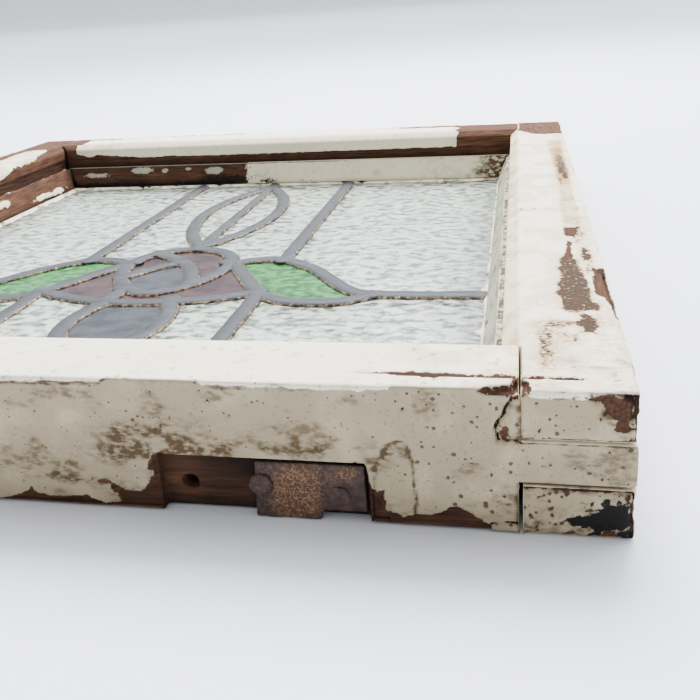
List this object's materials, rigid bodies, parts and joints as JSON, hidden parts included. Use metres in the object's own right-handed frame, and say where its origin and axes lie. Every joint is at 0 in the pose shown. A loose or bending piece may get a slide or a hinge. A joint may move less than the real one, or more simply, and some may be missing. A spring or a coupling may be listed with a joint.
{
  "type": "stained glass window sash",
  "caption": "Small salvaged timber window sash, flaking cream paint, holding a leaded light with a rose, bud and leaves in coloured glass.",
  "frame": {"origin": "middle of the hinge edge's outer face, at mid thickness", "axes": "+X along the hinge edge to the right, +Y from the hinge edge to the far edge, +Z out of the recessed face"},
  "size_m": [0.43, 0.438, 0.045],
  "materials": {
    "painted_timber": "old cream gloss paint, flaking to bare red-brown wood",
    "bead_timber": "worn cream paint over bare grey-brown wood",
    "lead": "dull bluish-grey oxidised lead",
    "clear_glass": "hammered, faintly green",
    "mauve_glass": "smooth",
    "grey_glass": "smooth",
    "green_glass": "finely rippled",
    "rusty_iron": "heavily rusted"
  },
  "bodies": {
    "root": {"stile_left": "painted_timber", "stile_right": "painted_timber", "rail_bottom": "painted_timber", "rail_top": "painted_timber", "bead_left": "bead_timber", "bead_right": "bead_timber", "bead_bottom": "bead_timber", "bead_top": "bead_timber", "lead_cames": "lead", "glass_bud_left": "clear_glass", "glass_bud_right": "clear_glass", "glass_rose_left": "mauve_glass", "glass_rose_heart": "grey_glass", "glass_rose_right": "mauve_glass", "glass_petal_left": "mauve_glass", "glass_petal_right": "mauve_glass", "glass_leaf_left": "green_glass", "glass_leaf_right": "green_glass", "glass_drop": "grey_glass", "glass_upper_outer_left": "clear_glass", "glass_upper_inner_left": "clear_glass", "glass_upper_inner_right": "clear_glass", "glass_upper_outer_right": "clear_glass", "glass_lower_outer_left": "clear_glass", "glass_lower_inner_left": "clear_glass", "glass_lower_inner_right": "clear_glass", "glass_lower_outer_right": "clear_glass", "hinge_leaf": "rusty_iron", "hinge_screw_1": "rusty_iron", "hinge_screw_2": "rusty_iron"}
  },
  "joints": []
}
